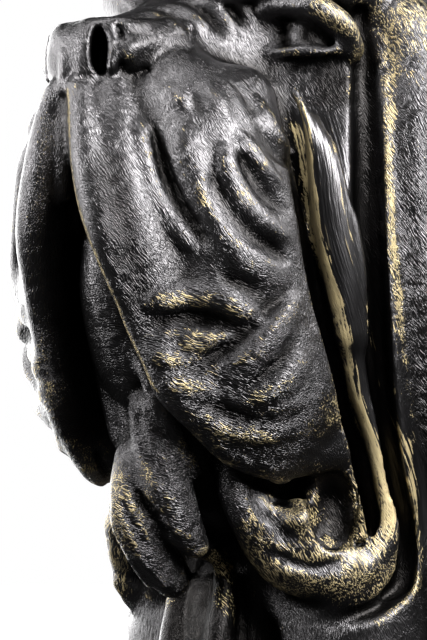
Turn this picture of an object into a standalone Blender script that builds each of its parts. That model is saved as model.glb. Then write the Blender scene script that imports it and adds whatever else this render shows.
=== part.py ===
"""A cast bronze head of a heavily wrinkled mastiff, cut flat at the neck.

The head looks along -Y, its left is +X, and it stands on its neck at z = 0.
Forms are stations of a full-size pattern, in millimetres: (side, back, up), where side
is measured from the middle plane, back from the tip of the nose and up from the cut.
The overall sizes scale that pattern. One half is listed and a Mirror makes the other,
apart from the lower lip, which hangs differently on the two sides.
"""

import math

import bpy

# Overall sizes of the casting, in metres.
HEAD_WIDTH = 0.250
HEAD_LENGTH = 0.300
HEAD_HEIGHT = 0.405

# The same three sizes on the pattern that the stations are read from, in millimetres.
PATTERN_WIDTH = 250.0
PATTERN_LENGTH = 300.0
PATTERN_HEIGHT = 405.0

# How far behind the tip of the nose the middle of the casting lies, on the pattern. The
# flews hang a little ahead of the nose, so it is less than half the length.
ORIGIN_BACK = 144.1

# Sizes of single features, in millimetres on the pattern.
NOSE_WIDTH = 56.0
NOSTRIL_WIDTH = 10.0
FLEW_RADIUS = 40.0
EYEBALL_RADIUS = 14.0
CHEEK_FOLD_RADIUS = 5.5
NECK_RADIUS = 80.0
EAR_THICKNESS = 18.0
GROOVE_RADIUS = 5.0

# How round each form starts: faces round a ball and over it, faces round a quarter of a
# roll, and steps between two stations of a roll.
BALL_SEGMENTS = 40
BALL_RINGS = 24
ROLL_ROUNDNESS = 6
ROLL_STEPS = 8

# How finely the forms are blended, in metres, how often and how strongly each blend is
# smoothed, and the share of the triangles that stays.
VOXEL = 0.0030
SOFTENING = 0.5
MASS_SOFTENING = 16
FOLD_SOFTENING = 3
EDGE_SOFTENING = 2
FACES_KEPT = 0.069

BRONZE_BROWN = (0.050, 0.040, 0.030, 1.0)

for old in list(bpy.data.objects):
    bpy.data.objects.remove(old, do_unlink=True)

statue = bpy.data.collections.new("dog_head_statue")
bpy.context.scene.collection.children.link(statue)
cutters = bpy.data.collections.new("cutters")
cutters.hide_render = True
bpy.context.scene.collection.children.link(cutters)

SIDE_SCALE = HEAD_WIDTH / PATTERN_WIDTH
BACK_SCALE = HEAD_LENGTH / PATTERN_LENGTH
UP_SCALE = HEAD_HEIGHT / PATTERN_HEIGHT

# A roll is round, so its radius follows the mean of the three scales.
ROUND_SCALE = (SIDE_SCALE + BACK_SCALE + UP_SCALE) / 3


def place(side, back, up):
    """A station of the pattern as a point of the casting, in metres."""
    return (side * SIDE_SCALE, (back - ORIGIN_BACK) * BACK_SCALE, up * UP_SCALE)


def ball(centre, radii, lean=(0.0, 0.0, 0.0)):
    """A scaled sphere; lean turns it about the side, back and up axes, in degrees."""
    bpy.ops.mesh.primitive_uv_sphere_add(segments=BALL_SEGMENTS, ring_count=BALL_RINGS, radius=1.0)
    form = bpy.context.object
    form.location = place(*centre)
    form.scale = (radii[0] * SIDE_SCALE, radii[1] * BACK_SCALE, radii[2] * UP_SCALE)
    form.rotation_euler = [math.radians(angle) for angle in lean]
    return form


def roll(*stations):
    """A round fold of flesh along (side, back, up, radius) stations, as a thick curve."""
    curve = bpy.data.curves.new("roll", "CURVE")
    curve.dimensions = "3D"
    curve.bevel_depth = ROUND_SCALE
    curve.bevel_resolution = ROLL_ROUNDNESS
    curve.use_fill_caps = True
    curve.resolution_u = ROLL_STEPS
    spline = curve.splines.new("NURBS")
    spline.points.add(len(stations) - 1)
    for point, (side, back, up, radius) in zip(spline.points, stations):
        point.co = (*place(side, back, up), 1.0)
        point.radius = radius
    spline.order_u = min(3, len(stations))
    spline.use_endpoint_u = True
    form = bpy.data.objects.new("roll", curve)
    bpy.context.scene.collection.objects.link(form)
    return form


def joined(name, forms, collection):
    """One mesh object that holds the meshes of all the forms, which are then removed."""
    bpy.context.view_layer.update()
    graph = bpy.context.evaluated_depsgraph_get()
    points, faces = [], []
    for form in forms:
        shown = form.evaluated_get(graph)
        mesh = shown.to_mesh()
        first = len(points)
        points += [form.matrix_world @ vertex.co for vertex in mesh.vertices]
        faces += [[first + i for i in face.vertices] for face in mesh.polygons]
        shown.to_mesh_clear()
    for form in forms:
        bpy.data.objects.remove(form, do_unlink=True)
    mesh = bpy.data.meshes.new(name)
    mesh.from_pydata(points, [], faces)
    whole = bpy.data.objects.new(name, mesh)
    collection.objects.link(whole)
    return whole


def mirrored(whole):
    mirror = whole.modifiers.new("other_half", "MIRROR")
    mirror.use_mirror_merge = False


def one_skin(whole, softening):
    """Melts overlapping forms into one skin, then softens its creases."""
    blend = whole.modifiers.new("one_skin", "REMESH")
    blend.mode = "VOXEL"
    blend.voxel_size = VOXEL
    if softening:
        soften = whole.modifiers.new("soften", "SMOOTH")
        soften.factor = SOFTENING
        soften.iterations = softening


def cut_away(whole, tool, name):
    cut = whole.modifiers.new(name, "BOOLEAN")
    cut.object = tool
    cut.operation = "DIFFERENCE"
    cut.solver = "EXACT"


def masses():
    """Skull, bridge, cheeks, flews, chin and neck: the big forms under the folds."""
    flew = FLEW_RADIUS
    neck = NECK_RADIUS
    return [
        ball((0, 188, 300), (96, 106, 96)),
        ball((34, 122, 352), (40, 44, 36)),
        roll((0, 26, 320, 16), (0, 60, 320, 28), (0, 100, 327, 40), (0, 140, 346, 48)),
        roll((0, 60, 290, 30), (0, 84, 250, 34), (0, 120, 200, 50), (0, 140, 130, 50)),
        roll((66, 150, 340, 28), (68, 144, 300, 31), (68, 142, 240, 34), (66, 147, 180, 36),
             (60, 156, 90, 38), (56, 160, -20, 40)),
        roll((0, 204, 280, neck + 6), (0, 200, 150, neck + 1), (0, 196, 60, neck), (0, 196, -30, neck)),
        roll((26, 46, 306, 24), (39, 58, 276, flew - 3), (46, 66, 236, flew + 1), (49, 71, 200, flew + 1),
             (55, 82, 158, flew - 4), (58, 94, 128, flew - 16)),
        roll((52, 76, 300, 16), (57, 76, 250, 19), (60, 84, 200, 22), (66, 100, 152, 24),
             (70, 112, 130, 15)),
        roll((14, 18, 300, 12), (22, 16, 276, 14), (28, 17, 244, 16), (35, 24, 210, 16),
             (41, 38, 178, 16), (46, 52, 150, 14), (54, 74, 132, 13)),
        # Outer fold, from the brow down the side of the neck, and the flesh behind it.
        roll((66, 150, 366, 6), (88, 146, 350, 15), (100, 151, 318, 18), (103, 158, 262, 20),
             (102, 168, 200, 22), (99, 184, 130, 23), (90, 194, 70, 23), (82, 202, -20, 24)),
        roll((84, 186, 310, 26), (84, 190, 200, 30), (78, 198, 100, 29), (70, 204, -20, 28)),
        # Loose skin of the nape, in folds that hang round the neck from ear to ear.
        roll((-1, 284, 316, 16), (40, 277, 300, 18), (70, 247, 272, 17), (81, 217, 236, 16),
             (88, 196, 200, 10)),
        roll((-1, 279, 252, 18), (40, 269, 232, 19), (62, 243, 200, 19), (75, 213, 160, 17),
             (84, 194, 126, 10)),
        roll((-1, 271, 178, 18), (38, 261, 158, 19), (60, 241, 124, 19), (72, 213, 84, 17),
             (80, 196, 54, 10)),
        roll((-1, 267, 104, 17), (36, 257, 84, 18), (58, 237, 50, 18), (70, 213, 12, 16),
             (72, 205, -20, 12)),
    ]


def mouth():
    """The gap between the two flews, which widens downwards."""
    return [
        roll((0, -8, 268, 4), (0, 4, 250, 8), (0, 14, 228, 14), (0, 28, 204, 20), (0, 44, 178, 25),
             (0, 62, 150, 29), (0, 78, 116, 33)),
    ]


def folds():
    """The smaller rolls, the nose, the lids and the ears."""
    nose = NOSE_WIDTH / 2
    fold = CHEEK_FOLD_RADIUS
    ear = EAR_THICKNESS / 2
    return [
        # Nose pad, the wing behind each nostril, and the ridge over the wing's slit.
        ball((0, 20, 319), (nose - 4, 21, 18)),
        ball((nose * 0.45, 18, 320), (13, 18, 16)),
        roll((nose - 3, 19, 319, 9), (29, 26, 322, 8), (34, 36, 326, 6), (38, 48, 331, 4)),
        roll((10, 8, 331, 5), (20, 13, 332, 5), (27, 24, 331, 6), (30, 40, 333, 6), (30, 56, 336, 5)),
        # Rounded front and lower edge of the flew.
        roll((8, 0, 302, 6), (13, -1, 284, 7), (17, -1, 262, 9), (22, 1, 240, 10), (26, 3, 223, 9),
             (29, 7, 207, 8), (32, 14, 190, 8), (34, 20, 178, 8), (38, 30, 161, 9), (40, 37, 149, 10),
             (46, 52, 136, 10), (52, 72, 119, 10), (64, 96, 115, 10), (76, 116, 119, 9)),
        # Chin, the roll that hangs under it, and the gum above.
        roll((0, 30, 222, 12), (0, 39, 200, 19), (0, 54, 175, 24), (0, 70, 157, 26), (0, 86, 130, 28),
             (0, 104, 100, 28)),
        roll((0, 52, 116, 10), (0, 48, 102, 10), (0, 49, 88, 11), (0, 57, 75, 11), (0, 68, 64, 10),
             (0, 80, 52, 9)),
        ball((0, 27, 240), (24, 8, 11)),
        # Cheek fold: two crests below the eye that join, run down behind the flew and turn
        # forward under the corner of the mouth.
        roll((72, 125, 56, fold + 5), (83, 132, 59, fold + 1), (88, 141, 68, fold), (92, 146, 78, fold),
             (93, 147, 90, fold), (92, 143, 108, fold), (90, 131, 135, fold), (89, 120, 162, fold),
             (90, 115, 180, fold), (88, 108, 200, fold + 1), (85, 98, 232, fold), (84, 95, 250, fold),
             (83, 93, 270, fold - 1), (76, 88, 302, fold - 2)),
        roll((92, 122, 177, fold - 1), (94, 113, 212, fold), (92, 104, 247, fold), (92, 101, 270, fold),
             (88, 97, 292, fold - 2)),
        roll((62, 108, 84, 12), (66, 116, 70, 12), (78, 126, 64, 8)),
        roll((78, 112, 140, 11), (81, 121, 116, 8), (83, 127, 94, 5)),
        # Dewlaps, the loose skin of the throat.
        roll((12, 78, 78, 6), (16, 84, 72, 7), (16, 94, 68, 7), (16, 101, 60, 7), (16, 102, 39, 8),
             (15, 98, 20, 9), (15, 100, -20, 11)),
        roll((0, 116, 60, 10), (0, 112, 30, 16), (0, 114, -20, 20)),
        roll((42, 140, 50, 14), (44, 142, 20, 16), (44, 144, -20, 18)),
        roll((70, 134, 50, 14), (70, 146, 26, 18), (68, 150, -20, 22)),
        # Upper and lower lid, and the rim of the pouch that sags below them.
        roll((52, 97, 350, 5), (65, 101, 350, 6), (77, 104, 347, 6), (83, 110, 342, 6), (87, 116, 338, 6),
             (88, 125, 330, 6), (88, 131, 322, 5)),
        roll((55, 99, 326, 4), (65, 101, 326, 4), (76, 107, 325, 4), (82, 112, 326, 4), (86, 125, 326, 4)),
        roll((66, 99, 326, 4), (73, 97, 316, 4), (79, 96, 306, 4), (86, 98, 300, 4), (93, 105, 293, 4)),
        # Brow rolls and the folds that run up over the forehead.
        roll((14, 82, 350, 9), (38, 88, 366, 13), (64, 104, 370, 14), (84, 138, 358, 14)),
        roll((8, 76, 342, 8), (13, 104, 372, 11), (20, 148, 390, 12), (22, 200, 390, 10),
             (24, 240, 366, 5)),
        roll((34, 112, 378, 12), (46, 156, 386, 13), (50, 206, 376, 11), (48, 236, 354, 5)),
        # Ears: thick flaps that hang from the sides of the skull.
        roll((80, 196, 364, ear - 1), (97, 199, 352, ear + 3), (109, 204, 326, ear + 4),
             (112, 208, 296, ear + 2), (109, 207, 266, ear - 4)),
        roll((84, 220, 354, ear - 1), (102, 226, 330, ear + 3), (107, 222, 298, ear),
             (108, 210, 268, ear - 4)),
    ]


def left_folds():
    """The lower lip on the dog's left, which hangs forward and shows between the flews."""
    return [
        roll((19, 39, 158, 4), (22, 43, 146, 5), (25, 50, 132, 6), (28, 58, 118, 6), (30, 67, 108, 4)),
        roll((12, 46, 140, 9), (15, 51, 118, 12), (17, 58, 98, 13), (19, 66, 82, 11), (21, 74, 72, 7)),
        roll((36, 82, 112, 8), (39, 84, 100, 10), (42, 94, 88, 14), (46, 107, 76, 18), (56, 114, 63, 17),
             (72, 125, 56, 12)),
    ]


def right_folds():
    """The lower lip on the dog's right, drawn further back under the flew."""
    return [
        roll((-14, 36, 190, 5), (-18, 48, 160, 6), (-18, 60, 130, 7)),
        roll((-8, 60, 140, 10), (-10, 66, 118, 12), (-10, 72, 98, 12), (-10, 80, 78, 10)),
        roll((-38, 92, 105, 12), (-39, 102, 90, 15), (-42, 118, 70, 16), (-50, 130, 56, 15),
             (-70, 136, 54, 11)),
    ]


def hollows():
    """What is cut into the forms: nostrils, eye sockets, pouches and the deep grooves."""
    nostril = NOSTRIL_WIDTH / 2
    groove = GROOVE_RADIUS
    return [
        ball((15, 8, 319), (nostril, 17, 12), (0, 0, 42)),
        roll((12, -4, 304, 2), (19, 4, 305, 2.5), (27, 13, 306, 2.5), (32, 22, 308, 2.5),
             (36, 31, 312, 2.5), (43, 46, 321, 2)),
        # Flew from cheek, cheek from neck, the corner of the mouth, and the throat.
        roll((62, 74, 340, groove - 2), (68, 72, 322, groove - 1), (78, 76, 302, groove - 1),
             (84, 81, 284, groove), (85, 84, 240, groove), (86, 92, 196, groove),
             (87, 106, 156, groove + 1), (87, 122, 126, groove + 1), (87, 132, 98, groove + 1)),
        roll((94, 121, 346, groove - 2), (96, 122, 320, groove), (98, 121, 290, groove + 1),
             (98, 123, 240, groove + 2), (95, 129, 190, groove + 2), (94, 135, 150, groove + 1),
             (93, 144, 110, groove + 1), (95, 153, 80, groove + 1), (94, 152, 55, groove + 1),
             (88, 141, 40, groove), (77, 123, 32, groove)),
        roll((40, 64, 122, 3), (52, 86, 105, 4), (66, 104, 102, 6), (76, 118, 96, 10)),
        ball((77, 120, 90), (9, 14, 22), (0, 0, -30)),
        roll((27, 56, 124, 4), (28, 70, 108, 6), (28, 76, 93, 7), (28, 85, 80, 8), (28, 97, 68, 8),
             (29, 106, 52, 7), (30, 112, 35, 7), (32, 117, 20, 8), (33, 118, -20, 9)),
        ball((4, 92, 62), (11, 13, 10)),
        # Round the root of the ear.
        roll((90, 178, 352, 3), (103, 184, 322, 4), (106, 190, 284, 4), (104, 206, 252, 3)),
        # Socket and pouch.
        ball((68, 107, 337), (20, 14, 10), (0, 0, 42)),
        ball((92, 102, 310), (15, 13, 12), (0, 0, 42)),
    ]


def eyeballs():
    eye = EYEBALL_RADIUS
    return [ball((65, 115, 335), (eye, eye, eye))]


gap = joined("gap", mouth(), cutters)
one_skin(gap, 0)

under = joined("under", masses(), cutters)
mirrored(under)
one_skin(under, MASS_SOFTENING)
cut_away(under, gap, "mouth")

carving = joined("carving", hollows(), cutters)
mirrored(carving)
one_skin(carving, 0)

half = joined("half", folds(), cutters)
mirrored(half)
lips = joined("lips", left_folds() + right_folds(), cutters)

head = joined("head", [under, half, lips], statue)
one_skin(head, FOLD_SOFTENING)
cut_away(head, carving, "carve")
eyes = joined("eyes", eyeballs(), cutters)
mirrored(eyes)
set_in = head.modifiers.new("eyes", "BOOLEAN")
set_in.object = eyes
set_in.operation = "UNION"
set_in.solver = "EXACT"
one_skin(head, EDGE_SOFTENING)
facets = head.modifiers.new("facets", "DECIMATE")
facets.ratio = FACES_KEPT

# The neck is cut flat, which is also what the casting stands on.
BLOCK = 0.8
bpy.ops.mesh.primitive_cube_add(size=BLOCK, location=(0.0, 0.0, -BLOCK / 2))
below = bpy.context.object
below.name = "below_the_neck"
for home in list(below.users_collection):
    home.objects.unlink(below)
cutters.objects.link(below)
cut_away(head, below, "flat_cut")

for tool in cutters.objects:
    tool.hide_render = True
    tool.display_type = "WIRE"

bronze = bpy.data.materials.new("bronze")
bronze.use_nodes = True
surface = bronze.node_tree.nodes["Principled BSDF"]
surface.inputs["Base Color"].default_value = BRONZE_BROWN
surface.inputs["Metallic"].default_value = 1.0
surface.inputs["Roughness"].default_value = 0.35
head.data.materials.append(bronze)
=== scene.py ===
"""Looks of a cast bronze mastiff's head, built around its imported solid.

Shapes are worked out in millimetres in the head's own frame: the dog faces -Y, its left
is +X, and the neck's flat cut lies at z = 0. They go into the meshes in metres.
"""

import math

import bpy
import numpy as np
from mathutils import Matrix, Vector


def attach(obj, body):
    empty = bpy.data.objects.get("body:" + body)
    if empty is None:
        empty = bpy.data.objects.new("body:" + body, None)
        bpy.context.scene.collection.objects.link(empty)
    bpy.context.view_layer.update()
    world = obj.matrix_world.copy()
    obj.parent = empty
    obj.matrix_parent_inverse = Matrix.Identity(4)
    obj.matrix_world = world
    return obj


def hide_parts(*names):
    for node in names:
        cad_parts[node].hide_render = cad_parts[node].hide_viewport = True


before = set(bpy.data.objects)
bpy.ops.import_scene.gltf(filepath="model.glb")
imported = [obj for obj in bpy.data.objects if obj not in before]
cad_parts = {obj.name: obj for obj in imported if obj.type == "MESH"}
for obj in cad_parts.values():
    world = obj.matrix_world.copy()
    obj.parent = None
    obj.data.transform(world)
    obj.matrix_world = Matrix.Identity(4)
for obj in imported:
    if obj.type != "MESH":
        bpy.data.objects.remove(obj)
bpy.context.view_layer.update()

# The camera: in front of the dog's left cheek and a little below it, with a long lens, and
# the photograph's own height and width. Its rays also turn pixels into places on the skin.
PHOTO_WIDTH_PX = 427
PHOTO_HEIGHT_PX = 640
CAMERA_AZIMUTH = math.radians(42.0)
CAMERA_ELEVATION = math.radians(-6.0)
CAMERA_DISTANCE = 1250.0
AIM = np.array([55.0, -94.1, 183.4])
VIEW_HEIGHT = 320.0

camera_back = np.array(
    [
        math.sin(CAMERA_AZIMUTH) * math.cos(CAMERA_ELEVATION),
        -math.cos(CAMERA_AZIMUTH) * math.cos(CAMERA_ELEVATION),
        math.sin(CAMERA_ELEVATION),
    ]
)
camera_right = np.array([math.cos(CAMERA_AZIMUTH), math.sin(CAMERA_AZIMUTH), 0.0])
camera_up = np.cross(camera_back, camera_right)
camera_eye = AIM + camera_back * CAMERA_DISTANCE

camera = bpy.data.objects.new("camera", bpy.data.cameras.new("camera"))
bpy.context.scene.collection.objects.link(camera)
bpy.context.scene.camera = camera
SENSOR = 36.0
camera.data.sensor_fit = "AUTO"
camera.data.sensor_width = SENSOR
camera.data.lens = SENSOR * CAMERA_DISTANCE / VIEW_HEIGHT
camera.data.clip_start = 0.01
camera.data.clip_end = 50.0
camera.location = Vector(camera_eye / 1000)
camera.rotation_euler = Vector(camera_back).to_track_quat("Z", "Y").to_euler()

# The head: one hollow casting in bronze from a modelled clay, chased with fur strokes and
# standing on its flat neck. Its skin is the zero level of a distance field: ovals and rolls
# are melted into it, and grooves cut from it, mostly alike on the dog's two sides.
CELL = 1.9
# How far behind the tip of the nose the middle of the casting lies.
ORIGIN_BACK = 144.1
FIELD_LOW = np.array([-132.0, -164.1, -6.0])
FIELD_HIGH = np.array([132.0, 163.9, 412.0])
AXES = [np.arange(low, high, CELL, dtype=np.float32) for low, high in zip(FIELD_LOW, FIELD_HIGH)]
origin = np.array([axis[0] for axis in AXES])
FAR_OFF = 60.0
field = np.full([len(axis) for axis in AXES], FAR_OFF, np.float32)


def window(low, high):
    """The part of the field between two corners, as slices and as open coordinate grids."""
    spans = []
    for axis, a, b in zip(AXES, low, high):
        first, last = np.searchsorted(axis, (a, b))
        spans.append(slice(max(first - 1, 0), min(last + 1, len(axis))))
    grids = np.meshgrid(*(axis[span] for axis, span in zip(AXES, spans)), indexing="ij", sparse=True)
    return tuple(spans), grids


def path(stations, steps=5):
    """A Catmull-Rom curve through the stations: each span is the cubic whose slopes at its
    ends are half the difference of the neighbouring stations. Columns beyond the third,
    such as the radius, follow the same rule."""
    p = np.array(stations, float)
    p = np.vstack([2 * p[0] - p[1], p, 2 * p[-1] - p[-2]])
    t = np.linspace(0, 1, steps, endpoint=False)[:, None]
    spans = []
    for a, b, c, d in zip(p[:-3], p[1:-2], p[2:-1], p[3:]):
        square_part = (2 * a - 5 * b + 4 * c - d) * t**2 / 2
        cube_part = (3 * b - a - 3 * c + d) * t**3 / 2
        spans.append(b + (c - a) * t / 2 + square_part + cube_part)
    return np.vstack(spans + [p[-2:-1]])


def at(stations):
    """Stations as (side, back from the nose, up, ...) turned into the frame's x, y, z."""
    p = np.array(stations, float)
    p[..., 1] -= ORIGIN_BACK
    return p


def roll_distance(points, reach):
    """Distance to a tapering round roll: to each straight piece a-b, it is the length from
    the nearest point of a-b less the radius there; the least over all the pieces counts."""
    radius = points[:, 3].max()
    low = points[:, :3].min(0) - radius - reach
    high = points[:, :3].max(0) + radius + reach
    spans, _ = window(low, high)
    near = np.full([s.stop - s.start for s in spans], FAR_OFF, np.float32)
    for a, b in zip(points[:-1], points[1:]):
        edge = max(a[3], b[3]) + reach
        piece, (x, y, z) = window(np.minimum(a, b)[:3] - edge, np.maximum(a, b)[:3] + edge)
        if any(s.stop <= s.start for s in piece):
            continue
        ab = b - a
        share = ((x - a[0]) * ab[0] + (y - a[1]) * ab[1] + (z - a[2]) * ab[2]) / (ab[:3] @ ab[:3] + 1e-9)
        share = np.clip(share, 0, 1)
        gap = np.sqrt(sum((p - a[k] - share * ab[k]) ** 2 for k, p in enumerate((x, y, z))))
        inner = tuple(slice(s.start - o.start, s.stop - o.start) for s, o in zip(piece, spans))
        near[inner] = np.minimum(near[inner], gap - a[3] - share * ab[3])
    return spans, near


def oval_distance(centre, radii, turn, reach, square=2.0):
    """Distance to a (squared) ellipsoid, near enough. With n for square, k is the n-th root
    of the sum of |p/r|^n, m is the length of the vector |p|^(n-1)/r^n, and the distance is
    (k - 1) k^(n-1)/m. turn is the angle in degrees about the upright axis."""
    most = max(radii)
    spans, (x, y, z) = window(centre - most - reach, centre + most + reach)
    x, y, z = x - centre[0], y - centre[1], z - centre[2]
    c, s = math.cos(math.radians(turn)), math.sin(math.radians(turn))
    x, y = c * x + s * y, c * y - s * x
    parts = [(np.abs(p), r) for p, r in zip((x, y, z), radii)]
    k = np.maximum(sum((p / r) ** square for p, r in parts) ** (1 / square), 0.001)
    m = np.sqrt(sum((p ** (square - 1) / r**square) ** 2 for p, r in parts))
    return spans, ((k - 1) * k ** (square - 1) / np.maximum(m, 1e-6)).astype(np.float32)


def soft_least(a, b, melt):
    """The lesser of a and b, rounded where they are within melt of each other."""
    h = np.clip(0.5 + 0.5 * (b - a) / melt, 0, 1)
    return b + (a - b) * h - melt * h * (1 - h)


BOTH = (1, -1)
NEAR = (1,)
FAR = (-1,)
# Distances are worked out this far beyond the melt, so that they fade in unseen.
MARGIN = 3 * CELL


def add_roll(stations, melt, sides=BOTH):
    """Melts a roll into the head, on one or both sides; stations are (side, back, up, radius)."""
    for side in sides:
        spans, near = roll_distance(path(at(stations)) * (side, 1, 1, 1), melt + MARGIN)
        field[spans] = soft_least(field[spans], near, melt)


def add_oval(centre, radii, turn=0.0, melt=6.0, sides=BOTH, square=2.0):
    """Melts an ellipsoid into the head; it is squarer with a greater square."""
    for side in sides:
        spans, near = oval_distance(at(centre) * (side, 1, 1), radii, turn * side, melt + MARGIN, square)
        field[spans] = soft_least(field[spans], near, melt)


def cut_roll(stations, melt=3.0, sides=BOTH):
    """Cuts a groove: the cut's distance, turned round, is melted into the air's."""
    for side in sides:
        spans, near = roll_distance(path(at(stations)) * (side, 1, 1, 1), melt + MARGIN)
        field[spans] = -soft_least(-field[spans], near, melt)


def cut_oval(centre, radii, turn=0.0, melt=3.0, sides=BOTH, square=2.0):
    """Cuts a hollow with the form of an ellipsoid."""
    for side in sides:
        spans, near = oval_distance(at(centre) * (side, 1, 1), radii, turn * side, melt + MARGIN, square)
        field[spans] = -soft_least(-field[spans], near, melt)


# Big masses under the folds: skull, brow, cheek, neck, and the muzzle's bridge.
FLESH = 16.0
add_oval((0, 188, 300), (96, 106, 96), melt=FLESH)
add_oval((34, 134, 352), (34, 37, 34), melt=FLESH)
add_roll([(0, 204, 280, 88), (0, 200, 150, 82), (0, 196, 60, 80), (0, 196, -40, 80)], FLESH)
add_roll([(66, 150, 340, 28), (68, 144, 300, 31), (68, 142, 240, 34), (66, 147, 180, 36),
          (60, 156, 90, 38), (56, 164, -30, 40)], FLESH)
add_roll([(0, 26, 320, 16), (0, 60, 320, 28), (0, 100, 327, 40), (0, 140, 346, 48)], FLESH)
add_roll([(0, 60, 290, 30), (0, 84, 250, 34), (0, 120, 200, 50), (0, 140, 130, 50)], FLESH)

# Flews: each hangs as a thick curtain with a fuller middle and a rounded front edge.
add_roll([(26, 46, 306, 24), (39, 58, 276, 37), (46, 66, 236, 41), (49, 71, 200, 41), (55, 82, 158, 36),
          (58, 94, 130, 24)], 12.0)
add_roll([(52, 76, 300, 16), (57, 76, 250, 19), (60, 84, 200, 22), (66, 100, 152, 24),
          (70, 112, 132, 15)], 12.0)
add_roll([(14, 18, 300, 12), (22, 16, 276, 14), (28, 17, 244, 16), (35, 24, 210, 16), (41, 38, 178, 16),
          (46, 52, 150, 14), (54, 74, 134, 13)], 10.0)
cut_roll([(0, 6, 244, 2), (0, 10, 236, 8), (0, 15, 226, 14), (0, 28, 204, 20), (0, 44, 178, 25),
          (0, 62, 150, 29), (0, 78, 120, 33)], 4.0)
FRONT_EDGE = [(8, 0, 302, 5), (13, -1, 284, 7), (17, -1, 262, 9), (22, 0.8, 240, 10),
              (26, 2.5, 223, 8.5), (28.6, 7, 207, 7), (32, 14, 190, 6.5), (33.5, 20, 178, 7),
              (37.5, 30, 161, 8.5), (40, 37, 149, 9.5), (46, 52, 136, 10), (52, 72, 119, 9),
              (64, 96, 115, 9), (76, 116, 119, 9)]
add_roll(FRONT_EDGE, 9.0)
add_roll([(6, 3, 300, 6), (6, 4, 284, 7), (7, 5, 266, 7), (10, 7, 250, 6)], 3.0)
# Gum and tooth tip under the nose.
add_oval((0, 27, 240), (24, 8, 11), melt=3.0)
add_oval((14, 17, 243), (3.5, 3, 5), melt=1.0)

# Chin, and the lower lip that folds down from it.
add_roll([(0, 30, 222, 12), (0, 39, 200, 19), (0, 54, 175, 24), (0, 70, 157, 26), (0, 86, 130, 28),
          (0, 104, 100, 28)], 5.0)
add_roll([(14, 36, 172, 3), (19, 39, 158, 4), (22, 43, 146, 5), (25, 50, 132, 5.5), (28, 58, 118, 5.5),
          (30, 67, 108, 4)], 5.0, NEAR)
add_roll([(14, 36, 190, 5), (18, 48, 160, 6), (18, 60, 130, 7)], 3.0, FAR)
add_roll([(-10, 24, 198, 1.5), (-10, 28, 187, 1.6), (-10, 37, 167, 1.7), (-10, 47, 152, 1.8),
          (-10, 54, 139, 1.8), (-10, 58, 126, 1.8), (-10, 56, 118, 1.6)], 1.5, NEAR)
add_roll([(0, 52, 116, 10), (0, 48, 102, 9.5), (0, 49, 88, 10.5), (0, 57, 75, 10.5), (0, 68, 64, 10),
          (0, 79, 54, 8)], 5.0)
add_roll([(12, 46, 140, 9), (15, 51, 118, 12), (17, 58, 98, 13.5), (19, 66, 82, 11),
          (21, 74, 72, 7)], 5.0, NEAR)
add_roll([(8, 60, 140, 10), (10, 66, 118, 12), (10, 72, 98, 12), (10, 80, 78, 10)], 5.0, FAR)
add_roll([(2, 40, 90, 2.5), (2, 46, 74, 2.5), (4, 56, 62, 2.5), (6, 68, 52, 2)], 2.0)

# Lower edge of the flew, lower lip flap and the tail that hangs into the mouth corner.
LIP_FLAP = [(36, 82, 112, 8), (39, 84, 100, 10), (42, 94, 88, 14), (46, 107, 76, 18), (56, 114, 63, 17),
            (72, 125, 56, 12)]
CHEEK_BAND = [(82.7, 132.3, 59, 7), (88, 141, 67.5, 5.5), (92, 146, 77.5, 5), (93, 147, 90, 4.5),
              (91.7, 143.2, 107.5, 4), (90.7, 136.8, 122.5, 4), (89.7, 130.5, 135, 4),
              (89, 124.5, 147.5, 4.2), (89.4, 119.6, 162.5, 5), (90, 114.6, 180, 6.3),
              (88.5, 108, 200, 6.8), (86.4, 102, 217.5, 6.3), (84.8, 98, 232.5, 5.8),
              (84.6, 95, 250, 5.6), (83.4, 92.6, 270, 5.2), (81, 89.2, 287, 4.6), (76, 88, 302, 3)]
add_roll(LIP_FLAP, 6.0, NEAR)
add_roll([(38, 92, 105, 12), (39, 102, 90, 15), (42, 118, 70, 16), (50, 130, 56, 15),
          (70, 136, 54, 11)], 6.0, FAR)
add_roll([(72, 125, 56, 12)] + CHEEK_BAND, 5.0)
add_roll([(91.7, 121.6, 177, 3.5), (93.2, 117.6, 195, 4.6), (94.4, 113.3, 212, 5.2),
          (93.8, 108.7, 230, 5.6), (91.8, 104.2, 247, 6), (91.7, 101.4, 270, 5), (90, 100, 284, 2.5),
          (88, 99, 296, 1)], 9.0)
add_roll([(88, 112, 180, 5.5), (90, 109, 205, 7.5), (89.5, 104, 230, 8.5), (88.5, 101, 255, 7),
          (86, 98, 275, 4), (84, 97, 298, 1)], 10.0)
add_roll([(62, 108, 84, 12), (66, 116, 70, 12), (78, 126, 64, 8)], 5.0)
add_roll([(78, 112, 140, 10), (82, 123, 118, 6), (83, 127, 98, 4.5), (83, 127, 86, 3)], 4.0)

# Outer fold, from the brow down the side of the neck.
OUTER_FOLD = [(70, 156, 366, 6), (94, 152, 350, 15), (103.5, 155.5, 318, 17), (103, 158, 262, 19),
              (102, 168, 200, 21), (99, 184, 130, 22), (90, 194, 70, 22), (82, 202, -30, 23)]
add_roll(OUTER_FOLD, 8.0)
add_roll([(84, 186, 310, 26), (84, 190, 200, 30), (78, 198, 100, 29), (70, 204, -30, 28)], 12.0)

# Throat.
add_roll([(12, 78, 78, 5), (16, 84, 71.5, 6), (16, 93.6, 68, 6), (16, 99.5, 61.5, 6),
          (16, 102.5, 53, 6.5), (16, 101, 39, 7), (15, 98, 20, 9), (15, 100, -20, 11)], 4.0)
add_roll([(0, 116, 60, 10), (0, 112, 30, 16), (0, 114, -20, 20)], 5.0)
add_roll([(42, 140, 50, 14), (44, 142, 20, 16), (44, 144, -30, 18)], 5.0)
add_roll([(70, 134, 50, 14), (70, 146, 26, 18), (68, 150, -30, 22)], 5.0)

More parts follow.
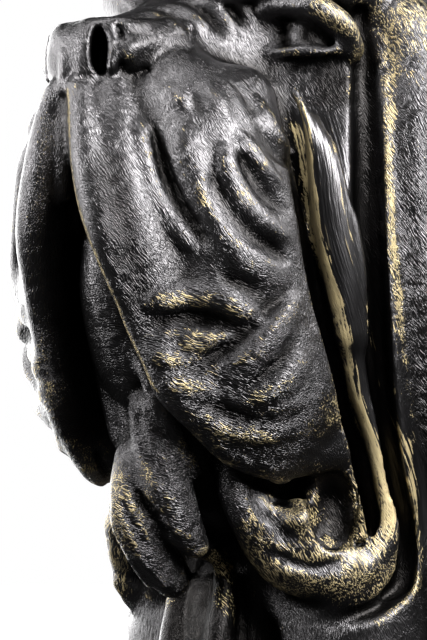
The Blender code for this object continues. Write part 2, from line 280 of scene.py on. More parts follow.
# Brows, and the folds that run back over the skull.
add_roll([(14, 82, 350, 9), (38, 88, 366, 13), (64, 104, 370, 14), (84, 138, 358, 14)], 6.0)
add_roll([(8, 76, 342, 8), (13, 104, 372, 11), (20, 148, 390, 12), (22, 200, 390, 10),
          (24, 240, 366, 5)], 6.0)
add_roll([(34, 112, 378, 12), (46, 156, 386, 13), (50, 206, 376, 11), (48, 236, 354, 5)], 6.0)
# Ears: thick flaps that hang from the sides of the skull.
add_roll([(80, 196, 364, 8), (97, 199, 352, 12), (109, 204, 326, 13), (112, 208, 296, 11),
          (109, 207, 266, 5)], 5.0)
add_roll([(84, 220, 354, 8), (102, 226, 330, 12), (107, 222, 298, 9), (108, 210, 268, 4)], 5.0)
cut_roll([(90, 178, 352, 2), (103, 184, 322, 4), (106, 190, 284, 4), (104, 206, 252, 3)])
cut_roll([(98, 214, 344, 2), (112, 218, 320, 3), (114, 217, 292, 2.5)], 3.0)
# Loose skin of the nape, in folds that hang round the neck from ear to ear.
NAPE_FOLDS = (
    [(-1, 284, 316, 16), (40, 277, 300, 18), (70, 247, 272, 17), (81, 217, 236, 16), (88, 196, 200, 10)],
    [(-1, 279, 252, 18), (40, 269, 232, 19), (62, 243, 200, 19), (75, 213, 160, 17), (84, 194, 126, 10)],
    [(-1, 271, 178, 18), (38, 261, 158, 19), (60, 241, 124, 19), (72, 213, 84, 17), (80, 196, 54, 10)],
    [(-1, 267, 104, 17), (36, 257, 84, 18), (58, 237, 50, 18), (70, 213, 12, 16), (72, 205, -30, 12)],
)
for nape_fold in NAPE_FOLDS:
    add_roll(nape_fold, 6.0)

# Grooves: flew from cheek, cheek from neck, under the flew, and down the throat.
FLEW_GROOVE = [(62, 74, 340, 3), (68, 72, 322, 3.5), (78, 76, 302, 4), (83, 81, 284, 4.2),
               (85, 84, 240, 5), (86, 92, 196, 6), (87, 106, 156, 5.5), (87, 122, 126, 5),
               (87, 132, 98, 5), (86.5, 136, 85, 4.5), (84, 135, 75, 3.5), (79, 127, 69, 2)]
NECK_GROOVE = [(94, 121, 348, 4), (96.3, 121.7, 322, 6.5), (98.4, 120.8, 290, 7.5), (96.8, 123, 240, 8),
               (94.4, 128.5, 190, 8), (93.5, 135.2, 150, 6.8), (93.2, 144.4, 110, 6.2),
               (94.7, 152.6, 80, 6), (94.3, 152.2, 55, 6), (90, 144.5, 46, 3.5)]
# The first two are cut three times, each time further in, so that their walls stand steep.
GROOVE_STEPS = (0, 5, 10)
TO_MIDDLE = 0.67
TO_NAPE = 0.74
for groove in (FLEW_GROOVE, NECK_GROOVE):
    for inward in GROOVE_STEPS:
        cut_roll([(side - TO_MIDDLE * inward, back + TO_NAPE * inward, up, radius)
                  for side, back, up, radius in groove])
cut_roll([(94.3, 152.2, 55, 4.5), (88.1, 141.2, 42, 4), (77.2, 124, 35, 3), (62, 114, 32, 2.2),
          (48, 110, 34, 2), (34, 112, 36, 2)], 6.0)
cut_roll([(40, 64, 122, 2), (52, 86, 105, 3.5), (66, 104, 102, 6), (76, 118, 96, 10)], 2.0)
cut_oval((75, 117.5, 89), (9.5, 14, 21), -30, 3.0)
cut_roll([(27, 56, 124, 4), (28, 70, 108.5, 6), (28, 76, 93, 6.5), (28, 85, 80, 7.5),
          (28, 97, 67.5, 7.5), (29, 106, 52, 7), (30, 112, 35, 7), (32, 117, 20, 8),
          (33, 118, -30, 9)], 2.5)
cut_oval((4, 92, 62), (11, 13, 9.5), melt=2.0)

# Nose: a square pad with a tall nostril each side. A thin upright lobe closes the nostril
# behind, and the wing that follows it narrows backwards over a deep slit.
VIEW_TURN = 42.0
add_oval((0, 19, 319), (22, 20, 18), melt=5.0, square=2.7)
add_roll([(25, 19, 319, 9), (29, 26, 322, 8), (34, 36, 326, 6), (38, 48, 331, 3)], 4.0)
add_roll([(10, 8, 331, 5), (20, 13, 332, 5), (27, 24, 331, 6), (30, 40, 333, 6), (30, 56, 336, 5)], 5.0)
cut_roll([(24, 12, 332, 1.5), (25.5, 14, 325, 2), (25.5, 14.5, 317, 2), (24.5, 14, 309, 1.6)], 1.0)
cut_oval((15, 8.5, 319.5), (4.4, 17, 12), VIEW_TURN, melt=1.5, square=2.2)
cut_roll([(16, 9, 311, 3), (19.5, 7, 307.5, 2.6), (25, 11, 306.5, 2.2)], 1.5)
add_roll([(20, 9.5, 330, 2.6), (22.6, 11, 325, 3.2), (23, 11.3, 318, 3.4), (22, 10.5, 309.5, 2.8)], 1.2)
add_roll([(29, 19, 311.5, 2), (32, 25.5, 314.5, 2.4), (35.5, 33, 318.5, 2.4), (39, 41.5, 323.5, 2.2),
          (40, 50, 328, 2)], 2.5)
cut_roll([(10, -2, 304, 1.6), (19, 4, 305.5, 2), (27, 13, 306.5, 1.6), (32, 22, 308.5, 1.4),
          (36, 31, 312.5, 1.4), (40, 39, 317, 1.4), (43, 46, 321, 1.2)], 1.0)
add_roll([(0, -1, 318, 2.2), (0, -2, 308, 2.0), (1, -2, 300, 1.6)], 2.5)

# Eye: the socket is hollowed, the ball set in it, and the lids drawn over the ball.
cut_oval((71, 109.7, 337), (18, 14, 10), VIEW_TURN, 2.5)
add_oval((64.5, 116.5, 336), (14, 14, 14), melt=0.8)
add_roll([(76, 99.5, 314, 1.5), (80, 98.5, 306.5, 2.4), (86, 100, 299, 3), (93.3, 106, 292, 4)], 9.0)
add_roll([(54.7, 98.7, 326.5, 2.4), (64.7, 101, 326.5, 2.8), (76, 107, 325.5, 3), (82, 112, 326, 3),
          (85, 119, 327, 3), (86.5, 125, 326, 3)], 6.0)
add_roll([(52, 97, 351, 5), (65, 100.5, 351, 6.5), (77, 103.5, 348.5, 7), (83, 109, 344, 7),
          (87, 116, 338, 6.5), (88, 122, 330, 4.5)], 7.0)
cut_roll([(92, 101.5, 313, 12.5), (95, 104, 296, 10), (99, 109, 274, 7), (101, 114, 250, 4)], 12.0)

# Wrinkles, each drawn along the line on which it is seen in the photograph. Each has its
# rise and its half width in millimetres, and its pixels counted from the upper left corner.
# A ray is followed between two shares of its way to the plane of the aim.
RAY_NEAR = 0.84
RAY_FAR = 1.16
RAY_STEPS = 500
NARROW_END = 0.35


def sampled(values, spots):
    """The values on the field's grid at any spots: the weighted mean of the eight around."""
    place = (spots - origin) / CELL
    base = np.clip(np.floor(place).astype(int), 0, np.array(values.shape) - 2)
    part = np.clip(place - base, 0, 1)
    total = 0
    for corner in np.ndindex(2, 2, 2):
        weight = np.prod(np.where(corner, part, 1 - part), axis=-1)
        total = total + weight * values[tuple(np.moveaxis(base + corner, -1, 0))]
    return total


def on_skin(pixels):
    """Where the camera's ray through each pixel of the photograph first meets the skin."""
    p = np.array(pixels, float)
    across = (p[:, 0] - PHOTO_WIDTH_PX / 2) * VIEW_HEIGHT / PHOTO_HEIGHT_PX
    upward = (PHOTO_HEIGHT_PX / 2 - p[:, 1]) * VIEW_HEIGHT / PHOTO_HEIGHT_PX
    target = AIM + across[:, None] * camera_right + upward[:, None] * camera_up
    share = np.linspace(RAY_NEAR, RAY_FAR, RAY_STEPS)[:, None, None]
    ray = camera_eye + (target - camera_eye) * share
    first = (sampled(field, ray) < 0).argmax(0)
    return ray[first, np.arange(len(p))]


def wrinkle(raised, width, pixels, sides=BOTH):
    """Raises (or, below zero, sinks) the skin along a line seen in the photograph. Its
    section is 3w² - 2w³ of the share w left from the line to the edge; its ends narrow."""
    line = on_skin(pixels)
    half_width = np.full(len(line), width)
    half_width[[0, -1]] = width * NARROW_END
    points = path(np.column_stack([line, half_width]))
    for side in sides:
        spans, near = roll_distance(points * (side, 1, 1, 1), 0.0)
        share = np.clip(-near / width, 0, 1)
        field[spans] -= raised * share**2 * (3 - 2 * share)


# Wrinkles of the muzzle, from the front back to the deep groove.
MUZZLE_LINES_PX = (
    (4.2, 6.5, ((138, 118), (141, 134), (145, 152), (154, 184), (166, 212), (182, 236), (198, 256))),
    (-2.7, 6.0, ((152, 122), (160, 148), (168, 176), (182, 206), (198, 230), (214, 250))),
    (4.7, 13.0, ((174, 116), (182, 142), (194, 176), (212, 212), (234, 244), (260, 266), (282, 282))),
    (-3.6, 7.2, ((212, 166), (216, 190), (230, 216), (250, 236), (276, 252), (290, 262))),
    (4.7, 7.8, ((224, 142), (227, 164), (238, 190), (256, 213), (274, 229), (292, 240))),
    (-3.4, 6.6, ((240, 150), (246, 166), (258, 186), (274, 202), (290, 212))),
    (4.4, 7.0, ((238, 128), (252, 150), (268, 172), (288, 190))),
    (-2.4, 5.4, ((252, 116), (264, 138), (280, 158), (292, 170))),
    (4.4, 8.4, ((258, 96), (266, 116), (279, 138), (290, 154))),
    (-1.6, 5.4, ((236, 84), (248, 104), (256, 120))),
    (2.9, 8.4, ((206, 82), (218, 102), (232, 122))),
    (-1.5, 6.0, ((186, 84), (196, 104), (210, 122))),
    (2.6, 8.4, ((160, 84), (176, 96), (190, 112))),
    (-2.4, 9.0, ((214, 270), (238, 286), (262, 300), (284, 306))),
    (4.4, 9.6, ((140, 308), (162, 300), (188, 296), (216, 299), (242, 308), (266, 324))),
    (-2.5, 7.8, ((146, 330), (170, 320), (198, 318), (226, 324), (250, 338))),
    (-3.1, 7.2, ((292, 284), (274, 306), (250, 330), (222, 352), (190, 374))),
    (3.4, 8.4, ((176, 346), (200, 340), (226, 336))),
    (4.2, 12.0, ((300, 296), (284, 318), (262, 346), (236, 368))),
    (2.9, 8.4, ((140, 348), (164, 358), (190, 362))),
    (-2.2, 6.6, ((300, 336), (286, 352), (268, 372), (244, 388))),
    (3.1, 9.0, ((310, 352), (296, 372), (272, 392), (244, 404))),
    (2.6, 7.8, ((160, 378), (184, 386), (214, 388))),
    (-1.8, 6.0, ((184, 402), (214, 408), (246, 418), (282, 420), (310, 410))),
    (2.3, 6.0, ((200, 422), (228, 432), (262, 438), (300, 434))),
)
for raised, width, pixels in MUZZLE_LINES_PX:
    wrinkle(raised, width, pixels)
# Knots of flesh along the lower edge of the flew.
KNOTS_PX = ((206, 412), (228, 424), (254, 430), (282, 432), (308, 424),
            (236, 400), (270, 408), (296, 398))
KNOT_ENDS_PX = ((-5, -2), (5, 3))
for right, down in KNOTS_PX:
    wrinkle(1.6, 6.0, [(right + x, down + y) for x, y in KNOT_ENDS_PX])
# Wrinkles that cross the bridge behind the nose.
BRIDGE_LINES_PX = (
    (3.4, 4.8, ((136, 12), (156, 16), (174, 26), (188, 40))),
    (-3.1, 3.6, ((150, 8), (170, 14), (188, 26), (200, 42))),
    (3.7, 5.4, ((166, 4), (186, 12), (202, 26), (212, 44))),
    (-3.1, 3.6, ((184, 2), (202, 12), (216, 26), (224, 42))),
    (3.4, 5.4, ((200, 2), (218, 12), (230, 26), (236, 42))),
    (-2.7, 3.6, ((220, 4), (234, 14), (244, 30))),
    (3.1, 4.8, ((234, 2), (248, 14), (256, 30))),
)
for raised, width, pixels in BRIDGE_LINES_PX:
    wrinkle(raised, width, pixels)
# Lumps and creases of the lower lip, seen on the dog's left.
LIP_LINES_PX = (
    (2.6, 6.0, ((266, 482), (280, 480), (294, 486))),
    (2.8, 6.0, ((298, 488), (308, 494), (314, 506))),
    (2.2, 5.0, ((288, 516), (298, 520), (306, 526))),
    (2.4, 5.4, ((320, 538), (328, 544), (336, 550))),
    (-2.6, 4.8, ((250, 478), (254, 496), (262, 512), (280, 530), (300, 538))),
    (-2.2, 4.2, ((266, 500), (282, 502), (296, 506), (310, 520))),
    (-2.2, 4.2, ((258, 548), (280, 556), (300, 566), (326, 566), (350, 556))),
    (2.0, 4.8, ((262, 520), (276, 528), (292, 534))),
    (2.0, 4.8, ((270, 566), (288, 572), (306, 574))),
)
for raised, width, pixels in LIP_LINES_PX:
    wrinkle(raised, width, pixels, NEAR)
# Chin: the furrow between its two hanging rolls, and the striae of its lower end.
CHIN_LINES_PX = (
    (-3.4, 5.0, BOTH, ((130, 486), (142, 502), (156, 516), (168, 532), (180, 542))),
    (-2.2, 4.2, NEAR, ((138, 404), (140, 428), (148, 452), (160, 474), (170, 492))),
    (1.8, 4.2, BOTH, ((112, 488), (116, 508), (126, 528), (138, 548))),
    (-1.4, 3.0, BOTH, ((120, 496), (128, 518), (140, 538), (154, 560))),
    (1.8, 3.6, NEAR, ((152, 508), (168, 524), (184, 534), (198, 536))),
)
for raised, width, sides, pixels in CHIN_LINES_PX:
    wrinkle(raised, width, pixels, sides)

# The casting ends in a flat cut under the neck, on which it stands.
field = np.maximum(field, -AXES[2])


def skin_mesh(field, origin, cell):
    """A closed skin on the zero level: one point in every cell that the level crosses, at
    the mean of the crossings on its edges, and a four-sided face across every crossed edge."""
    inside = field < 0
    shape = np.array(field.shape) - 1
    total = np.zeros((*shape, 3), np.float32)
    count = np.zeros(shape, np.float32)
    crossings = []
    for axis in range(3):
        low = [slice(None)] * 3
        high = [slice(None)] * 3
        low[axis] = slice(0, -1)
        high[axis] = slice(1, None)
        a, b = field[tuple(low)], field[tuple(high)]
        where = np.argwhere(inside[tuple(low)] != inside[tuple(high)])
        cells = tuple(where.T)
        share = a[cells] / (a[cells] - b[cells])
        point = where.astype(np.float32)
        point[:, axis] += share
        others = [k for k in range(3) if k != axis]
        crossings.append((axis, where, inside[tuple(low)][cells]))
        for i in (0, 1):
            for j in (0, 1):
                owner = where.copy()
                owner[:, others[0]] -= i
                owner[:, others[1]] -= j
                good = ((owner >= 0) & (owner < shape)).all(1)
                spot = tuple(owner[good].T)
                np.add.at(total, spot, point[good])
                np.add.at(count, spot, 1)
    used = np.argwhere(count > 0)
    number = np.full(shape, -1, np.int64)
    number[tuple(used.T)] = np.arange(len(used))
    points = total[tuple(used.T)] / count[tuple(used.T)][:, None] * cell + origin
    faces = []
    for axis, where, solid_low in crossings:
        u, v = (axis + 1) % 3, (axis + 2) % 3
        corners = []
        for i, j in ((0, 0), (1, 0), (1, 1), (0, 1)):
            owner = where.copy()
            owner[:, u] -= i
            owner[:, v] -= j
            corners.append(number[tuple(owner.T)])
        quad = np.stack(corners, 1)
        quad[~solid_low] = quad[~solid_low][:, ::-1]
        faces.append(quad)
    return points, np.vstack(faces)


MOST_TRIANGLES = 195000
points, faces = skin_mesh(field, origin, CELL)
mesh = bpy.data.meshes.new("head_skin")
mesh.from_pydata(points / 1000, [], faces.tolist())
head = bpy.data.objects.new("head_skin", mesh)
bpy.context.scene.collection.objects.link(head)
thin = head.modifiers.new("thin", "DECIMATE")
thin.ratio = MOST_TRIANGLES / (2 * len(faces))
fine = bpy.data.meshes.new_from_object(head.evaluated_get(bpy.context.evaluated_depsgraph_get()))
head.modifiers.clear()
head.data = fine
bpy.context.view_layer.update()
bpy.data.meshes.remove(mesh)
fine.name = "head_skin"
fine.shade_smooth()

# How the casting was handled: rubbed on its crests. Its hollows get painted shade. A crest or ridge
# lies inside the blurred skin, and a place in the open has little bronze around it.
CREST_BLUR = 2
CREST_FULL = 0.45
RIDGE_BLUR = 9
RIDGE_FULL = 1.6
OPEN_BLUR = 24


def spread(values, times):
    """Values blurred over the grid: a quarter, a half and a quarter, along each axis in turn."""
    for _ in range(times):
        for axis in range(3):
            ends = [(1, 1) if k == axis else (0, 0) for k in range(3)]
            padded = np.pad(values, ends, mode="edge")
            n = values.shape[axis]
            before, here, after = (padded.take(range(k, n + k), axis) for k in range(3))
            values = (before + 2 * here + after) / 4
    return values


def rise(values, low, high):
    """3s² - 2s³, with s running from 0 at low to 1 at high."""
    share = np.clip((values - low) / (high - low), 0, 1)
    return share**2 * (3 - 2 * share)


def skin_value(name, values):
    """A number for each point of the skin, which the bronze reads by its name."""
    store = fine.attributes.new(name, "FLOAT", "POINT")
    store.data.foreach_set("value", np.asarray(values, np.float32))


spots = np.empty(len(fine.vertices) * 3, np.float32)
fine.vertices.foreach_get("co", spots)
spots = spots.reshape(-1, 3) * 1000
one_side = np.column_stack([np.abs(spots[:, 0]), spots[:, 1:]])
back_from_nose = spots[:, 1] + ORIGIN_BACK
height = spots[:, 2]
crest = sampled(spread(field, CREST_BLUR) - field, spots) / CREST_FULL
ridge = sampled(spread(field, RIDGE_BLUR) - field, spots) / RIDGE_FULL
open_air = 1 - sampled(spread((field < 0).astype(np.float32), OPEN_BLUR), spots)
skin_value("crest", np.clip(crest, -1, 1))
skin_value("ridge", np.clip(ridge, -1, 1))
skin_value("open_air", open_air)

# Painted shade: the colour is darkened in deep grooves, furrows and the inside of the mouth,
# where shade falls. Each hollow has its centre, its reach, its sides and the share of the colour it darkens.
painted_light = rise(open_air, 0.27, 0.5) * (0.2 + 0.8 * rise(ridge, -0.8, 0.1))
SHADED_HOLLOWS = (
    ((30, 26, 214), 20, FAR, 0.95),
    ((36, 34, 190), 24, FAR, 0.95),
    ((40, 44, 165), 26, FAR, 0.95),
    ((44, 56, 145), 24, FAR, 0.95),
    ((10, 50, 190), 26, BOTH, 0.95),
    ((72, 108, 335), 9, BOTH, 0.9),
    ((87, 110, 309), 18, BOTH, 0.9),
    ((15, 100, 30), 30, BOTH, 0.9),
    ((16, 92, 58), 22, BOTH, 0.9),
    ((24, 82, 94), 9, BOTH, 0.9),
    ((74, 123, 89), 17, BOTH, 0.95),
    ((34, 32, 324), 22, BOTH, 0.45),
)
for centre, reach, sides, share in SHADED_HOLLOWS:
    for side in sides:
        gap = np.linalg.norm(spots - at(centre) * (side, 1, 1), axis=1) / reach
        painted_light *= 1 - share * rise(-gap, -1.2, -0.6)
# Painted shade also darkens a stripe down the front of the flew, and the neck below the cheek.
STRIPE_PX = ((108, 170), (113, 192), (118, 214), (123, 238), (130, 264), (138, 292))
LOW_NECK_PX = ((392, 600), (420, 588), (366, 612))
SHADE_SPOT_REACH = 11.0
SHADE_SPOT_SHARE = 0.62
for centre in on_skin(STRIPE_PX + LOW_NECK_PX):
    gap = np.linalg.norm(one_side - centre, axis=1) / SHADE_SPOT_REACH
    painted_light *= 1 - SHADE_SPOT_SHARE * rise(-gap, -1.3, -0.3)
skin_value("painted_light", painted_light)


def nearness(from_spots, centre, reach, start):
    """From 0 to 1: start less the distance to a place (side, back, up) over its reach."""
    gap = np.linalg.norm(from_spots - at(centre), axis=1)
    return np.clip(start - gap / reach, 0, 1)


# Places where the patina is rubbed back to the metal most, and how far around each.
RUBBED = (
    ((92, 147, 90), 26), ((88, 108, 200), 16), ((86, 100, 240), 18), ((83, 92, 275), 18),
    ((86, 108, 346), 16), ((58, 104, 74), 40), ((82, 130, 60), 26), ((0, 48, 95), 24),
    ((58, 66, 134), 24), ((48, 42, 168), 26), ((60, 62, 190), 14), ((78, 100, 138), 18),
    ((108, 175, 280), 30), ((106, 185, 200), 30), ((100, 150, 340), 34),
)
wear = np.zeros(len(spots))
for centre, reach in RUBBED:
    for side in BOTH:
        wear = np.maximum(wear, nearness(spots * (side, 1, 1), centre, reach, 1.5))
# The mouth, the lids and the nose keep their dark patina: no cloth reached into them.
MOUTH = (((0, 30, 200), 36), ((0, 44, 160), 40), ((16, 34, 160), 34), ((0, 76, 130), 34), ((30, 76, 92), 22))
LIDS_AND_NOSE = (((72, 108, 338), 14), ((92, 102, 310), 15), ((0, 12, 320), 30))
for centre, reach in MOUTH:
    wear -= 1.2 * nearness(spots, centre, reach, 1.2)
for centre, reach in LIDS_AND_NOSE:
    wear -= 1.2 * nearness(one_side, centre, reach, 1.2)

# Along the cheek's band the hair lies lengthwise, so the pattern follows the band: across
# is the distance seen between a spot and the line of the band's front crest.
crest_line = path(at(CHEEK_BAND))
crest_line = crest_line[np.argsort(crest_line[:, 2])]
on_line = np.interp(height, crest_line[:, 2], crest_line[:, :3] @ camera_right)
across = one_side @ camera_right - on_line
lengthwise = np.clip(1.4 - np.abs(across - 9) / 18, 0, 1)
lengthwise *= np.clip((300 - height) / 10, 0, 1) * np.clip((height - 60) / 30, 0, 1)
front_crest = np.exp(-(((across + 4) / 4.6) ** 2))
rear_crest = np.exp(-(((across - 13) / 4) ** 2))
on_band = lengthwise * (front_crest + 0.35 * rear_crest)
skin_value("across", across)
skin_value("lengthwise", lengthwise)
wear = wear * (1 - lengthwise) + on_band * 1.6 - 0.3 * lengthwise
# The outer fold is rubbed along its front edge, where it turns into the neck groove.
fold_line = path(at(OUTER_FOLD))
fold_line = fold_line[np.argsort(fold_line[:, 2])]
fold_front = fold_line[:, :3] @ camera_right - fold_line[:, 3]
behind_edge = one_side @ camera_right - np.interp(height, fold_line[:, 2], fold_front)
on_fold = np.clip((behind_edge + 4) / 3, 0, 1)
on_fold *= np.clip((height - 95) / 30, 0, 1) * np.clip((352 - height) / 12, 0, 1)
on_fold *= np.clip((210 - back_from_nose) / 15, 0, 1)
wear += on_fold * (1.2 * np.exp(-(((behind_edge - 3) / 3.5) ** 2)) - 0.1)
skin_value("wear", np.clip(wear, -1, 1.2))
# Bare metal shows in a line along the lip's margin, and most on the folds' front edges.
margin_line = path(at(FRONT_EDGE))
margin_line = margin_line[np.argsort(margin_line[:, 2])]
beside = [np.interp(height, margin_line[:, 2], margin_line[:, k]) for k in (0, 1, 3)]
sideways = one_side[:, 0] - beside[0]
backwards = one_side[:, 1] - beside[1]
off_margin = np.hypot(sideways, backwards) - beside[2]
rim = sideways * camera_right[0] + backwards * camera_right[1] + beside[2]
rim = np.exp(-((rim / 0.9) ** 2)) * (np.abs(off_margin) < 3) * (height > 130) * (height < 300)
fold_rim = on_fold * np.exp(-(((behind_edge - 3) / 3.0) ** 2))
leaf = np.maximum(np.clip(on_band, 0, 1), 0.35 * fold_rim)
leaf = np.maximum(leaf, rim * np.where(spots[:, 0] > 0, 0.7, 0.25))
skin_value("leaf", leaf)
store = fine.attributes.new("skin_place", "FLOAT_VECTOR", "POINT")
store.data.foreach_set("vector", one_side.astype(np.float32).ravel())

# The fur lies in short strokes. Their slant, from straight down (0 degrees) to level (90),
# turns over the head; four stroke patterns of fixed slant fade into one another by it.
SLANTS = (0.0, 35.0, 70.0, 105.0)
slant = np.full(len(spots), 25.0)
on_muzzle = np.clip((100 - back_from_nose) / 20, 0, 1)
low_muzzle = on_muzzle * np.clip((230 - height) / 70, 0, 1)
slant = slant + on_muzzle * 15 + low_muzzle * 30
slant += 14 * np.sin(height / 17.0) * np.cos(back_from_nose / 13.0)
shares = np.stack([np.clip(1 - np.abs((slant - s + 90) % 180 - 90) / 35.0, 0, 1) for s in SLANTS]) ** 2
shares /= np.sqrt((shares**2).sum(0)) + 1e-6
for i, share in enumerate(shares):
    skin_value(f"fur_{i}", share)
# The strokes are cut deepest low on the flew and along the outer fold.
skin_value("depth", 0.8 + 0.9 * low_muzzle + 0.6 * on_fold)


class Tint:
    """A socket in a material's node tree. Arithmetic on it adds Math nodes to the tree."""

    def __init__(self, tree, socket=None):
        self.tree = tree
        self.socket = socket

    def node(self, kind, settings, sockets, output=0):
        """A new node: its settings are set first, then its sockets get values or links."""
        made = self.tree.nodes.new(kind)
        for name, value in settings.items():
            setattr(made, name, value)
        for name, value in sockets.items():
            if isinstance(value, Tint):
                self.tree.links.new(value.socket, made.inputs[name])
            else:
                made.inputs[name].default_value = value
        return Tint(self.tree, made.outputs[output])

    def math(self, operation, a, b):
        return self.node("ShaderNodeMath", {"operation": operation}, {0: a, 1: b})

    def __add__(self, other):
        return self.math("ADD", self, other)

    __radd__ = __add__

    def __sub__(self, other):
        return self.math("SUBTRACT", self, other)

    def __rsub__(self, other):
        return self.math("SUBTRACT", other, self)

    def __mul__(self, other):
        return self.math("MULTIPLY", self, other)

    __rmul__ = __mul__

    def __truediv__(self, other):
        return self.math("DIVIDE", self, other)

    def __rtruediv__(self, other):
        return self.math("DIVIDE", other, self)

    def most(self, other):
        return self.math("MAXIMUM", self, other)

    def step(self, low, high):
        """0 below low, 1 above high, and a smooth rise between."""
        return self.node(
            "ShaderNodeMapRange",
            {"interpolation_type": "SMOOTHSTEP"},
            {"Value": self, "From Min": low, "From Max": high},
        )

    def value(self, name):
        return self.node("ShaderNodeAttribute", {"attribute_name": name}, {}, "Fac")

    def vector(self, operation, sockets, output="Vector"):
        return self.node("ShaderNodeVectorMath", {"operation": operation}, sockets, output)

    def scaled(self, vector, times):
        return self.vector("SCALE", {0: vector, "Scale": times})

    def noise(self, place, detail, rough=0.5):
        sockets = {"Vector": place, "Scale": 1.0, "Detail": detail, "Roughness": rough}
        return self.node("ShaderNodeTexNoise", {}, sockets)

    def mixed(self, share, a, b):
        """The colour a where share is 0 and b where it is 1."""
        return self.node("ShaderNodeMix", {"data_type": "RGBA"}, {0: share, 6: a, 7: b}, 2)


bronze = bpy.data.materials.new("bronze")
bronze.use_nodes = True
surface = bronze.node_tree.nodes["Principled BSDF"]
kit = Tint(bronze.node_tree)
place = kit.node("ShaderNodeAttribute", {"attribute_name": "skin_place"}, {}, "Vector")

# Pattern sizes in millimetres. The place is bent a little, so that no stroke is straight.
STROKE_WIDTH = 0.55
STROKE_LENGTH = 7.0
SWAY_LENGTH = 9.0
SWAY = 4.0
STREAK_WIDTH = 1.3
STREAK_LENGTH = 18.0
BLOTCH_SIZE = 11.0
FLECK_SIZE = 1.6
# The sideways and the backward part of the direction in which a level stroke lies.
LEVEL_LIE = (0.743, 0.669)
sway_place = {"Vector": place, "Scale": 1 / SWAY_LENGTH, "Detail": 1.0}
sway = kit.node("ShaderNodeTexNoise", {}, sway_place, "Color")
sideways_sway = kit.vector("SUBTRACT", {0: sway, 1: (0.5, 0.5, 0.5)})
bent = kit.vector("ADD", {0: place, 1: kit.scaled(sideways_sway, SWAY)})


def fur_pattern(slant, wide, long):
    """Noise drawn out along one slant: the place is divided by the strokes' width, but by
    their length along the direction that they lie in."""
    s = math.radians(slant)
    lie = (LEVEL_LIE[0] * math.sin(s), LEVEL_LIE[1] * math.sin(s), -math.cos(s))
    along = kit.vector("DOT_PRODUCT", {0: bent, 1: lie}, "Value")
    squeeze = along * (1 / wide - 1 / long)
    lie_way = kit.node("ShaderNodeCombineXYZ", {}, {k: squeeze * part for k, part in enumerate(lie)})
    return kit.noise(kit.vector("SUBTRACT", {0: kit.scaled(bent, 1 / wide), 1: lie_way}), 1.0) - 0.5


fur = 0
for i, slant in enumerate(SLANTS):
    fur = fur + kit.value(f"fur_{i}") * fur_pattern(slant, STROKE_WIDTH, STROKE_LENGTH)
bent_height = kit.node("ShaderNodeSeparateXYZ", {}, {0: bent}, "Z")
streak_place = {0: kit.value("across") / STREAK_WIDTH, 2: bent_height / STREAK_LENGTH}
streak = kit.noise(kit.node("ShaderNodeCombineXYZ", {}, streak_place), 2.0)
fur = fur + (streak - 0.5 - fur) * kit.value("lengthwise") + 0.5
blotch = kit.noise(kit.scaled(place, 1 / BLOTCH_SIZE), 4.0, 0.6)
fleck = kit.noise(kit.scaled(place, 1 / FLECK_SIZE), 3.0, 0.6)

# The patina is rubbed through on crests, in blotches and where hands and cloth pass. There
# the tops of the strokes show the metal, and on the folds' front edges nearly all of it.
rubbed = kit.value("ridge") * 0.3 + kit.value("crest") * 0.6 + (blotch - 0.5) * 2.4
rubbed = rubbed + (fleck - 0.5) * 0.7 + (kit.value("open_air") - 0.5) * 0.4
rubbed = (rubbed + (kit.value("wear") - 0.5) * 1.1).step(-0.1, 1.0)
bare = kit.value("leaf")
rubbed = rubbed.most(bare * 0.9)
stroke_top = 0.75 - rubbed * 0.24 - bare * 0.26
gold = ((fur - stroke_top) / 0.08).step(0.0, 1.0) * rubbed.step(0.05, 0.4)
# The first colour is the near black of painted shade, to which the patina is darkened where the painted
# light value falls; the second is the patina itself.
PAINTED_SHADE_COLOR = (0.013, 0.012, 0.0115, 1)
PATINA = (0.080, 0.077, 0.079, 1)
GOLD = (0.60, 0.48, 0.25, 1)
STROKE_DEPTH = 0.0005
color = kit.mixed(gold * (0.3 + blotch * 0.9), kit.mixed(kit.value("painted_light"), PAINTED_SHADE_COLOR, PATINA), GOLD)
metallic = 1 - gold * 0.45
roughness = 0.31 + gold * 0.16 + (blotch - 0.5) * 0.1
relief = fur * kit.value("depth") * 1.1 + fleck * 0.02
bump_values = {"Strength": 1.0, "Distance": STROKE_DEPTH, "Height": relief}
bump = kit.node("ShaderNodeBump", {}, bump_values)
fed = (("Base Color", color), ("Metallic", metallic), ("Roughness", roughness), ("Normal", bump))
for name, tint in fed:
    bronze.node_tree.links.new(tint.socket, surface.inputs[name])
surface.inputs["Coat Weight"].default_value = 0.02
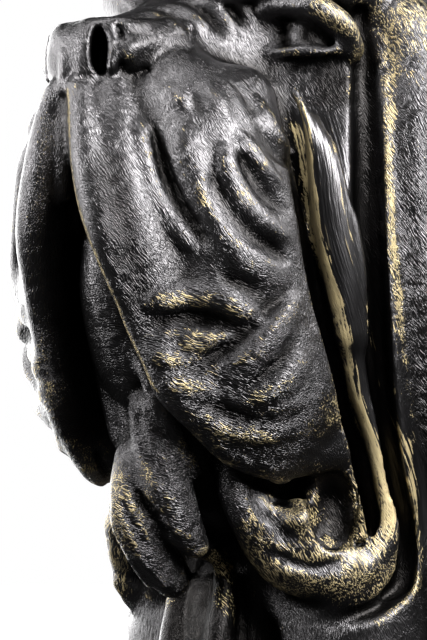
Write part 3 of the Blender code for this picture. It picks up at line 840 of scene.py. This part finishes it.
surface.inputs["Coat Roughness"].default_value = 0.12
fine.materials.clear()
fine.materials.append(bronze)
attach(head, "root")
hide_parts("head")

# The studio: a white floor that runs out into a white backdrop, and large soft lamps. The
# floor and the backdrop are bright for the camera but throw next to nothing on the bronze.
FLOOR_WIDTH = 400
ROOM_GLOW = 0.035
LAMP_AIM = Vector((0, 0, 0.2))
bpy.ops.mesh.primitive_plane_add(size=FLOOR_WIDTH)
floor = bpy.context.object
floor.name = "floor"
floor.visible_glossy = False
floor.visible_diffuse = False
paper = bpy.data.materials.new("paper")
paper.use_nodes = True
paper_surface = paper.node_tree.nodes["Principled BSDF"]
paper_surface.inputs["Base Color"].default_value = (0.85, 0.85, 0.85, 1)
paper_surface.inputs["Roughness"].default_value = 1.0
paper_surface.inputs["Emission Color"].default_value = (1, 1, 1, 1)
paper_surface.inputs["Emission Strength"].default_value = 1.0
floor.data.materials.append(paper)


def soft_light(name, place, size, power):
    """A square lamp that looks at the head, with its place and size in metres."""
    light = bpy.data.lights.new(name, "AREA")
    light.energy = power
    light.size = size
    lamp = bpy.data.objects.new(name, light)
    bpy.context.scene.collection.objects.link(lamp)
    lamp.location = place
    lamp.rotation_euler = (Vector(place) - LAMP_AIM).to_track_quat("Z", "Y").to_euler()


soft_light("key", (1.95, -0.2, 1.4), 1.3, 145)
soft_light("front", (-1.2, -1.7, 0.8), 1.2, 65)
soft_light("top", (0.2, -0.9, 2.0), 0.8, 26)
soft_light("behind", (-1.9, 0.35, 0.6), 1.6, 60)
soft_light("back", (1.2, 1.9, 1.2), 1.0, 30)
world = bpy.data.worlds.new("studio")
bpy.context.scene.world = world
world.use_nodes = True
backdrop = world.node_tree.nodes["Background"]
backdrop.inputs["Color"].default_value = (1, 1, 1, 1)
seen = Tint(world.node_tree).node("ShaderNodeLightPath", {}, {}, "Is Camera Ray")
glow = ROOM_GLOW + seen * (1 - ROOM_GLOW)
world.node_tree.links.new(glow.socket, backdrop.inputs["Strength"])
bpy.context.scene.view_settings.view_transform = "Standard"
